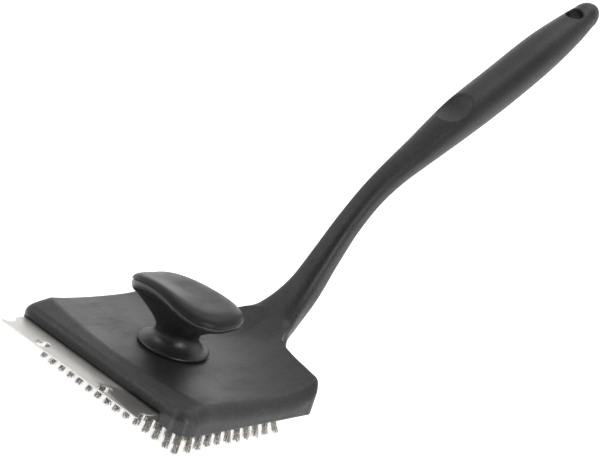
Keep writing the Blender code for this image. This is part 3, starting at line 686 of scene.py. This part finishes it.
def cross_outline(x, y, arm, half):
    """Clockwise outline of a cross recess."""
    quarter = [(arm, half), (half, half), (half, arm)]
    points = []
    for turn in range(4):
        c, s = round(math.cos(turn * math.pi / 2)), round(math.sin(turn * math.pi / 2))
        points += [(x + px * c - py * s, y + px * s + py * c) for px, py in quarter]
    return points[::-1]


def make_screw(number, x, y, mat):
    """Pan-head screw with a cross recess and a rolled thread, head down."""
    head = RIM_Z + GAP
    neck = head + SCREW_HEAD_H
    sides = 32
    profile = [(SCREW_HEAD_R * 0.62, head), (SCREW_HEAD_R * 0.83, head + 0.00013),
               (SCREW_HEAD_R * 0.95, head + 0.00040), (SCREW_HEAD_R, head + 0.00080),
               (SCREW_HEAD_R, neck), (SCREW_R * 0.82, neck)]
    bm = bmesh.new()
    loops = [add_ring(bm, circle(r, x, y, z, sides)) for r, z in profile]
    pitch, turns = 0.0009, 8
    for i in range(turns):
        z = neck + 0.0006 + i * pitch
        shrink = 1.0 - 0.5 * max(0.0, i - turns + 3) / 3
        for r, lift in ((0.80, 0.0), (1.0, 0.42), (1.0, 0.50), (0.80, 0.92)):
            ring = circle(SCREW_R * r * shrink, x, y, z + lift * pitch, sides)
            loops.append(add_ring(bm, [(px, py, pz + pitch * (j / sides - 0.5) * 0.5)
                                       for j, (px, py, pz) in enumerate(ring)]))
    for one, other in zip(loops, loops[1:]):
        bridge(bm, one, other)
    bm.faces.new(loops[-1])
    cross = cross_outline(x, y, 0.0012, 0.00032)
    mouth = add_ring(bm, level(cross, head))
    floor = add_ring(bm, level([(x + (px - x) * 0.6, y + (py - y) * 0.6) for px, py in cross],
                               head + 0.0009))
    bridge(bm, mouth, floor)
    bm.faces.new(floor)
    fill_flat(bm, loops[0], [mouth])
    name = f"pan_screw_{number + 1}"
    mesh = finish(bm, name, math.radians(35))
    piece(name, mesh, mat, (f"block_screw_{number + 1}",))


# ------------------------------------------------------------------------- bristles
def wire_bases(random, count):
    """Places of a tuft's wires in its hole: a sunflower spiral, slightly shaken."""
    i = np.arange(count) + 0.5
    radius = (TUFT_HOLE_R - WIRE_R - 0.0001) * np.sqrt(i / count)
    turn = i * math.pi * (3 - math.sqrt(5))
    spot = np.stack([radius * np.cos(turn), radius * np.sin(turn)], axis=1)
    return spot + random.normal(0, 0.00008, (count, 2))


def tuft_wires(random, x, y, count, steps):
    """Centrelines of one tuft's crimped wires, as wires x points x 3."""
    base = wire_bases(random, count)
    lean = random.normal(0, 0.00035, (1, 2))
    spread = base * random.normal(0.34, 0.10, (count, 1)) + random.normal(0, 0.00030, (count, 2))
    fan = np.array([x * (SPLAY_X - 1), (y - MIDDLE_ROW_Y) * (SPLAY_Y - 1)])
    worn = smooth_step((x - 0.045) / 0.035) * smooth_step((0.030 - y) / 0.030)
    front = smooth_step((0.014 - y) / 0.006)
    fan = fan + worn * np.array(WORN_LEAN) + front * np.array(FRONT_LEAN)
    tip_z = np.abs(random.normal(0, 0.0006, count)) + 0.0001
    root_z = RIM_Z + TUFT_HOLE_DEPTH - 0.0003
    share = np.linspace(0, 1, steps)[None, :, None]
    out = np.clip((share - 0.2) / 0.8, 0, 1)
    foot = np.array([x, y]) + base
    plan = foot[:, None] + (fan + lean + spread)[:, None] * out ** 1.25
    crimp = CRIMP_DEPTH * np.minimum(1.0, 4 * share) * np.sin(
        2 * math.pi * share * CRIMPS + random.uniform(0, 1.6, (count, 1, 1)))
    heading = random.uniform(0, 2 * math.pi, (count, 1))
    sway = np.stack([np.cos(heading), np.sin(heading)], axis=-1)
    plan = plan + crimp * sway
    z = root_z + (tip_z[:, None] - root_z) * share[..., 0]
    return np.concatenate([plan, z[..., None]], axis=2)


def wire_mesh(name, lines, sides=4):
    """Thin tubes along level-section centrelines, with closed ends."""
    wires, steps, _ = lines.shape
    turn = np.arange(sides) * 2 * math.pi / sides + math.pi / 4
    ring = np.stack([np.cos(turn), np.sin(turn), np.zeros(sides)], axis=1) * WIRE_R
    points = (lines[:, :, None] + ring).reshape(-1, 3)
    number = np.arange(wires * steps * sides).reshape(wires, steps, sides)
    one, other = number[:, :-1], number[:, 1:]
    quads = np.stack([one, np.roll(one, -1, 2), np.roll(other, -1, 2), other], axis=-1)[..., ::-1]
    faces = np.concatenate([quads.reshape(-1, 4), number[:, 0].reshape(-1, 4),
                            number[:, -1, ::-1].reshape(-1, 4)])
    mesh = mesh_from(name, points, faces)
    mesh.shade_smooth()
    return mesh


def make_row(row, mat):
    """One row of tufts, with the same draws every time."""
    random = np.random.default_rng(100 + row)
    count, steps = ((30, 17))
    lines = [tuft_wires(random, x, y, count, steps) for x, y in tuft_places(row)]
    name = f"wire_row_{row + 1:02d}"
    mesh = wire_mesh(name, np.concatenate(lines))
    piece(name, mesh, mat, (f"bristle_row_{row + 1:02d}",))


# ------------------------------------------------------------------- the palm knob
def knob_turns():
    return [2 * math.pi * i / KNOB_SIDES for i in range(KNOB_SIDES)]


def edge_wave(turn):
    """How far the cap's edge rises or dips round the knob: high at the left front."""
    front = max(0.0, math.cos(turn - math.radians(258)))
    return (0.0018 * math.cos(turn) - 0.0012 * math.cos(2 * turn) + 0.0005 * math.sin(2 * turn)
            + 0.0076 * front ** 4)


def band_height(turn):
    """Height of the grip band under the cap's edge, tallest at the left front."""
    front = max(0.0, math.cos(turn - math.radians(250)))
    return 0.0055 - 0.0009 * math.cos(turn) + 0.0024 * front ** 3


def oval_ring(inset_by, height_at, round_share=0.0, round_r=STEM_R):
    """Ring of the knob: the oval brought in, or blended towards a circle on the stem."""
    ring = []
    for turn in knob_turns():
        c, s = math.cos(turn), math.sin(turn)
        reach = (abs(c) ** KNOB_POWER + abs(s) ** KNOB_POWER) ** (-1 / KNOB_POWER)
        x = (KNOB_HALF[0] - inset_by) * c * reach + KNOB_CAP_X
        y = (KNOB_HALF[1] - inset_by) * s * reach + KNOB_CAP_Y
        x += (round_r * c - x) * round_share
        y += (KNOB_Y + round_r * s - y) * round_share
        ring.append((x, y, height_at(turn)))
    return ring


def make_knob_cap(mat):
    """Crowned pad with a rolled edge, which closes the knob's bowl."""
    def at(lift, fade=0.0):
        return lambda turn: KNOB_RIM_Z + edge_wave(turn) * (1 - fade) ** 2 + lift

    rings = []
    for step in range(5):
        turn = math.radians(-80 + 20 * step)
        rings.append(oval_ring(0.0005 - 0.0004 * math.cos(turn),
                               at(0.0005 + 0.0004 * math.sin(turn))))
    for share in np.linspace(0.015, 0.985, 32):
        lift = 0.0008 + (KNOB_CROWN - 0.0008) * (1 - (1 - share) ** 5.5) ** 0.67
        rings.append(oval_ring(KNOB_HALF[1] * share, at(lift, share)))
    under = [oval_ring(KNOB_HALF[1] * 0.9, at(0.0024, 0.9)),
             oval_ring(KNOB_HALF[1] * 0.3, at(0.0008, 0.3)),
             oval_ring(0.0050, at(-0.0016)),
             oval_ring(0.0042, at(-0.0016)),
             oval_ring(0.0040, at(0.0))]
    bm = bmesh.new()
    skin_rings(bm, under + rings)
    mesh = finish(bm, "knob_palm_cap", math.radians(50))
    piece("knob_palm_cap", mesh, mat, ("knob_cap",))


def make_knob_body(mat):
    """Foot, waisted stem, flared underside and grip band in one moulding."""
    foot = KNOB_SEAT_Z + GAP
    bore = INSERT_R + GAP
    profile = [(bore, 0.0), (0.0238, 0.0)]
    profile += [(0.0238 + 0.0008 * math.sin(t), 0.0008 - 0.0008 * math.cos(t))
                for t in (0.5, 1.0, math.pi / 2)]
    profile += [(0.0245, 0.0013), (0.0243, 0.0017), (0.0237, 0.0021), (0.0222, 0.0027),
                (0.0203, 0.0035), (0.0187, 0.0045), (0.0173, 0.0058), (0.0162, 0.0072),
                (0.0155, 0.0088), (0.0152, 0.0104), (0.0153, 0.0120), (0.0156, 0.0135)]
    bm = bmesh.new()
    rings = []
    for radius, lift in profile:
        rings.append(circle(radius, 0, KNOB_Y, foot + lift, KNOB_SIDES))

    def edge(lift):
        return lambda turn: KNOB_RIM_Z + edge_wave(turn) - GAP / 2 + lift

    def band(share):
        """Height on the grip band, from its top edge (0) to its lower one (1)."""
        return lambda turn: edge(0.0)(turn) - band_height(turn) * share

    def under(share):
        """From the stem's top to the band's lower edge, on a hollow curve."""
        def height(turn):
            high = KNOB_RIM_Z + edge_wave(turn) - band_height(turn)
            low = foot + 0.0135
            return low + (high - low) * share ** 0.80
        return height

    for share in np.linspace(0.08, 0.96, 14):
        rings.append(oval_ring(0.0024 + BAND_LEAN, under(share), 1 - share ** 0.92))
    for step in range(13):
        turn = math.radians(-84 + 14 * step)
        roll = (0.0024 if turn < 0 else BAND_ROLL) * (1 - math.cos(turn))
        share = 0.5 - 0.5 * math.sin(turn)
        rings.append(oval_ring(roll + BAND_LEAN * share, band(share)))
    rings.append(oval_ring(0.0034, edge(-0.0001)))
    rings.append(oval_ring(0.0046, edge(-0.0050)))
    rings.append(oval_ring(0.0050, lambda t: BOWL_FLOOR_Z + 0.0010, 0.80))
    rings.append(circle(bore + 0.002, 0, KNOB_Y, BOWL_FLOOR_Z, KNOB_SIDES))
    rings.append(circle(bore, 0, KNOB_Y, BOWL_FLOOR_Z, KNOB_SIDES))
    loops = skin_rings(bm, rings, False, False)
    bridge(bm, loops[-1], loops[0])
    mesh = finish(bm, "knob_grip", math.radians(32))
    piece("knob_grip", mesh, mat, ("knob_body",))


# ------------------------------------------------------------------------ materials
def new_material(name):
    mat = bpy.data.materials.new(name)
    mat.use_nodes = True
    return mat, mat.node_tree, mat.node_tree.nodes["Principled BSDF"]


def own_coordinates(tree, scale=(1.0, 1.0, 1.0)):
    """The object's own coordinates, stretched."""
    source = tree.nodes.new("ShaderNodeTexCoord")
    stretch = tree.nodes.new("ShaderNodeMapping")
    stretch.inputs["Scale"].default_value = scale
    tree.links.new(source.outputs["Object"], stretch.inputs["Vector"])
    return stretch.outputs["Vector"]


def noise(tree, scale, detail=2.0, stretch=(1.0, 1.0, 1.0), roughness=0.5):
    node = tree.nodes.new("ShaderNodeTexNoise")
    node.inputs["Scale"].default_value = scale
    node.inputs["Detail"].default_value = detail
    node.inputs["Roughness"].default_value = roughness
    tree.links.new(own_coordinates(tree, stretch), node.inputs["Vector"])
    return node.outputs["Fac"]


def remap(tree, value, low, high, to_low, to_high):
    node = tree.nodes.new("ShaderNodeMapRange")
    tree.links.new(value, node.inputs["Value"])
    for name, number in (("From Min", low), ("From Max", high), ("To Min", to_low), ("To Max", to_high)):
        node.inputs[name].default_value = number
    return node.outputs["Result"]


def calculate(tree, operation, a, b):
    node = tree.nodes.new("ShaderNodeMath")
    node.operation = operation
    for socket, value in zip(node.inputs, (a, b)):
        if isinstance(value, (int, float)):
            socket.default_value = value
        else:
            tree.links.new(value, socket)
    return node.outputs["Value"]


def blend_colours(tree, share, first, second):
    node = tree.nodes.new("ShaderNodeMix")
    node.data_type = "RGBA"
    for socket, value in ((node.inputs[0], share), (node.inputs[6], first), (node.inputs[7], second)):
        if isinstance(value, (float, int)):
            socket.default_value = value
        elif isinstance(value, tuple):
            socket.default_value = (*value, 1.0)
        else:
            tree.links.new(value, socket)
    return node.outputs[2]


def bump(tree, height, distance, strength=1.0, below=None):
    node = tree.nodes.new("ShaderNodeBump")
    node.inputs["Distance"].default_value = distance
    node.inputs["Strength"].default_value = strength
    tree.links.new(height, node.inputs["Height"])
    if below is not None:
        tree.links.new(below, node.inputs["Normal"])
    return node.outputs["Normal"]


def resin_material(name, colour, pale, roughness, grain, grain_depth, marks=0.0, shine=0.5):
    """Spark-textured moulded resin: fine grain, satin patches, handling scuffs, flow marks."""
    mat, tree, shader = new_material(name)
    link = tree.links.new
    clouds = noise(tree, 28.0, 4.0)
    specks = noise(tree, grain * 0.45, 2.0)
    tone = calculate(tree, "ADD", remap(tree, clouds, 0.35, 0.70, 0.0, 0.5),
                     remap(tree, specks, 0.42, 0.66, 0.0, 0.80))
    base = blend_colours(tree, tone, colour, pale)
    if marks:
        streaks = noise(tree, 260.0, 3.0, (1.0, 1.0, 0.10))
        patch = noise(tree, 22.0, 2.0, (1.0, 1.0, 0.4))
        place = tree.nodes.new("ShaderNodeSeparateXYZ")
        link(own_coordinates(tree), place.inputs["Vector"])
        low = remap(tree, place.outputs["Z"], RIM_Z + 0.002, RIM_Z + 0.020, 1.0, 0.0)
        streaks = calculate(tree, "MULTIPLY", remap(tree, streaks, 0.52, 0.72, 0.0, 1.0),
                            remap(tree, patch, 0.48, 0.66, 0.0, 1.0))
        faint = calculate(tree, "MULTIPLY", calculate(tree, "MULTIPLY", streaks, low), marks)
        base = blend_colours(tree, faint, base, (0.16, 0.16, 0.17))
    link(base, shader.inputs["Base Color"])
    scuffs = noise(tree, 95.0, 5.0, (1.0, 0.35, 1.0), 0.6)
    rough = calculate(tree, "ADD", remap(tree, clouds, 0.3, 0.7, roughness - 0.04, roughness + 0.05),
                      remap(tree, scuffs, 0.50, 0.75, 0.0, 0.10))
    link(rough, shader.inputs["Roughness"])
    fine = noise(tree, grain * 0.55, 3.0, roughness=0.7)
    wavy = noise(tree, 70.0, 2.0)
    soft = bump(tree, wavy, 0.00025, 0.6)
    link(bump(tree, fine, grain_depth, 1.0, soft), shader.inputs["Normal"])
    shader.inputs["IOR"].default_value = 1.50
    shader.inputs["Specular IOR Level"].default_value = shine
    return mat


def plate_material():
    """Cold-rolled stainless sheet: rolling lines along X, smears, a painted dark reflection at the
    right.
    """
    mat, tree, shader = new_material("stainless_sheet")
    link = tree.links.new
    lines = noise(tree, 2600.0, 4.0, (0.018, 1.0, 1.0), 0.7)
    smears = noise(tree, 55.0, 4.0, (0.5, 1.0, 1.0))
    tone = blend_colours(tree, remap(tree, smears, 0.35, 0.7, 0.0, 1.0),
                         (0.50, 0.485, 0.46), (0.58, 0.57, 0.55))
    # painted reflection: the sheet is darkened right of a slanted line, away from its front edge, for a
    # darker part of the studio reflected in it
    place = tree.nodes.new("ShaderNodeSeparateXYZ")
    link(own_coordinates(tree), place.inputs["Vector"])
    slant = calculate(tree, "SUBTRACT", place.outputs["X"],
                      calculate(tree, "MULTIPLY", place.outputs["Y"], 1.2))
    dark = remap(tree, slant, 0.029, 0.033, 0.0, 1.0)
    strip = calculate(tree, "ADD", place.outputs["Y"],
                      calculate(tree, "MULTIPLY", place.outputs["X"], 0.12))
    dark = calculate(tree, "MULTIPLY", dark, remap(tree, strip, -0.0130, -0.0115, 0.0, 1.0))
    tone = blend_colours(tree, dark, tone, (0.25, 0.245, 0.23))
    tone = blend_colours(tree, remap(tree, lines, 0.35, 0.68, 0.0, 0.25), tone, (0.40, 0.39, 0.38))
    link(tone, shader.inputs["Base Color"])
    shader.inputs["Metallic"].default_value = 1.0
    rough = calculate(tree, "ADD", remap(tree, smears, 0.3, 0.7, 0.34, 0.44),
                      remap(tree, lines, 0.3, 0.7, -0.04, 0.05))
    link(rough, shader.inputs["Roughness"])
    link(bump(tree, lines, 0.000012, 0.7), shader.inputs["Normal"])
    return mat


def wire_material():
    """Bright drawn wire with tone varying from one wire to the next, and painted shade down in the
    tufts.
    """
    mat, tree, shader = new_material("drawn_wire")
    link = tree.links.new
    each = noise(tree, 1500.0, 1.0, (1.0, 1.0, 0.12))
    place = tree.nodes.new("ShaderNodeSeparateXYZ")
    link(own_coordinates(tree), place.inputs["Vector"])
    # painted shade: the wires darken towards the board, down in the tufts where shade falls between them
    depth = remap(tree, place.outputs["Z"], 0.0, RIM_Z, 0.0, 0.70)
    tone = blend_colours(tree, remap(tree, each, 0.38, 0.62, 0.0, 1.0),
                         (0.17, 0.15, 0.125), (0.82, 0.80, 0.76))
    link(blend_colours(tree, depth, tone, (0.20, 0.17, 0.14)), shader.inputs["Base Color"])
    shader.inputs["Metallic"].default_value = 1.0
    link(remap(tree, each, 0.3, 0.7, 0.24, 0.42), shader.inputs["Roughness"])
    scratch = noise(tree, 5200.0, 2.0, (1.0, 1.0, 0.2))
    link(bump(tree, scratch, 0.00001, 0.5), shader.inputs["Normal"])
    return mat


def metal_material(name, colour, worn, roughness, scale):
    """Plated or machined metal with mottled plating and fine tool marks."""
    mat, tree, shader = new_material(name)
    link = tree.links.new
    mottle = noise(tree, scale, 4.0)
    marks = noise(tree, scale * 9, 2.0, (1.0, 1.0, 0.1))
    link(blend_colours(tree, remap(tree, mottle, 0.35, 0.68, 0.0, 1.0), colour, worn),
         shader.inputs["Base Color"])
    shader.inputs["Metallic"].default_value = 1.0
    link(remap(tree, marks, 0.3, 0.7, roughness - 0.06, roughness + 0.08), shader.inputs["Roughness"])
    link(bump(tree, marks, 0.00001, 0.6), shader.inputs["Normal"])
    return mat


def from_front_right(tree, vector, low, high, to_low, to_high):
    """Value that changes with the distance towards the front right, the studio's dark side."""
    side = tree.nodes.new("ShaderNodeVectorMath")
    side.operation = "DOT_PRODUCT"
    side.inputs[1].default_value = (0.60, -0.80, 0.0)
    tree.links.new(vector, side.inputs[0])
    return remap(tree, side.outputs["Value"], low, high, to_low, to_high)


def floor_material():
    """White sweep with painted light: it glows round the brush and fades to painted shade towards the
    dark side.
    """
    mat, tree, shader = new_material("studio_floor")
    tone = blend_colours(tree, noise(tree, 3.0, 3.0), (0.88, 0.88, 0.88), (0.92, 0.92, 0.92))
    # painted light and shade: the floor is white and glows near the brush, and turns dark towards the
    # front right
    near = from_front_right(tree, own_coordinates(tree), 0.30, 0.75, 1.0, 0.08)
    tree.links.new(blend_colours(tree, near, (0.05, 0.05, 0.05), tone), shader.inputs["Base Color"])
    shader.inputs["Roughness"].default_value = 0.9
    shader.inputs["Specular IOR Level"].default_value = 0.1
    # painted light: the floor's own glow, which washes out the shadows on it
    shader.inputs["Emission Color"].default_value = (1.0, 1.0, 1.0, 1.0)
    tree.links.new(calculate(tree, "MULTIPLY", near, 0.85), shader.inputs["Emission Strength"])
    return mat


# ---------------------------------------------------------------- the hidden fixings
def dress_fixings(steel, brass):
    """The bolt, washer and insert keep their CAD shapes and get better finishes."""
    for node, mat in (("knob_washer", steel), ("knob_bolt", steel), ("knob_insert", brass)):
        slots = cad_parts[node].material_slots
        for place in slots:
            place.material = mat


# -------------------------------------------------------------- floor, light, camera
def make_floor():
    bm = bmesh.new()
    bmesh.ops.create_grid(bm, x_segments=8, y_segments=8, size=4.0)
    floor = bpy.data.objects.new("studio_floor", finish(bm, "studio_floor"))
    bpy.context.collection.objects.link(floor)
    floor.location.z = -0.0002
    floor.data.materials.append(floor_material())


def add_light(name, place, aim, size, power, size_y=None):
    data = bpy.data.lights.new(name, "AREA")
    data.energy = power
    data.size = size
    if size_y:
        data.shape = "RECTANGLE"
        data.size_y = size_y
    light = bpy.data.objects.new(name, data)
    bpy.context.collection.objects.link(light)
    light.location = place
    light.rotation_euler = (Vector(aim) - Vector(place)).to_track_quat("-Z", "Y").to_euler()


def make_lights():
    """Four soft lights, and a white surround that dims towards the front right."""
    add_light("overhead", (0.1, 0.35, 1.3), (0.0, 0.0, 0.05), 0.7, 3.0)
    add_light("left_strip", (-0.9, -0.9, 0.9), (0.0, -0.15, 0.05), 0.20, 2.8)
    add_light("right_strip", (0.95, -0.45, 0.50), (0.0, -0.10, 0.08), 0.32, 6.0, 0.60)
    add_light("back_card", (-1.0, 1.3, 0.5), (0.0, 0.0, 0.05), 1.2, 3.0, 0.7)
    world = bpy.data.worlds.new("studio")
    bpy.context.scene.world = world
    world.use_nodes = True
    backdrop = world.node_tree.nodes["Background"]
    backdrop.inputs["Color"].default_value = (1.0, 1.0, 1.0, 1.0)
    tree = world.node_tree
    source = tree.nodes.new("ShaderNodeTexCoord")
    glow = from_front_right(tree, source.outputs["Generated"], -0.35, 0.55, 1.0, 0.10)
    tree.links.new(glow, backdrop.inputs["Strength"])


def make_camera():
    """The photograph's view: from the right front, a little above, with the camera rolled."""
    azimuth, elevation, roll = (math.radians(v) for v in (36.87, 18.18, 17.92))
    distance = 1.31902
    target = ORIGIN + Vector((-0.00382, 0.16485, 0.09283 + RIM_Z))
    back = Vector((math.sin(azimuth) * math.cos(elevation), -math.cos(azimuth) * math.cos(elevation),
                   math.sin(elevation)))
    level_right = (-back).cross(Vector((0, 0, 1))).normalized()
    level_up = level_right.cross(-back)
    right = math.cos(roll) * level_right + math.sin(roll) * level_up
    up = -math.sin(roll) * level_right + math.cos(roll) * level_up
    turn = Matrix((right, up, back)).transposed().to_4x4()
    data = bpy.data.cameras.new("camera")
    data.sensor_width = 36.0
    data.lens = 114.475
    data.clip_start = 0.01
    camera = bpy.data.objects.new("camera", data)
    bpy.context.collection.objects.link(camera)
    camera.matrix_world = Matrix.Translation(target + back * distance) @ turn
    bpy.context.scene.camera = camera


# -------------------------------------------------------------------------- assembly
resin = resin_material("moulded_resin", (0.009, 0.009, 0.0095), (0.023, 0.023, 0.0245), 0.42,
                       1700.0, 0.00022, marks=0.3, shine=0.46)
grip_resin = resin_material("grip_resin", (0.008, 0.008, 0.0085), (0.020, 0.020, 0.021), 0.33,
                            1500.0, 0.00014, shine=0.50)
cap_resin = resin_material("satin_cap", (0.010, 0.0098, 0.0090), (0.015, 0.0148, 0.0138), 0.40,
                           2600.0, 0.00002, shine=0.24)
board_resin = resin_material("board_resin", (0.016, 0.016, 0.016), (0.030, 0.030, 0.030), 0.52,
                             1300.0, 0.00008)
steel = metal_material("zinc_plating", (0.62, 0.62, 0.64), (0.46, 0.46, 0.49), 0.30, 420.0)
brass = metal_material("machined_brass", (0.72, 0.55, 0.26), (0.56, 0.41, 0.18), 0.28, 380.0)

bpy.context.scene.view_settings.view_transform = "Standard"
make_camera()
make_body(resin)
make_blade(plate_material())
make_block(board_resin)
wire = wire_material()
for row_number in range(ROWS):
    make_row(row_number, wire)
for screw_number, (screw_x, screw_y) in enumerate(SCREWS):
    make_screw(screw_number, screw_x, screw_y, steel)
make_knob_body(grip_resin)
make_knob_cap(cap_resin)
dress_fixings(steel, brass)
make_floor()
make_lights()
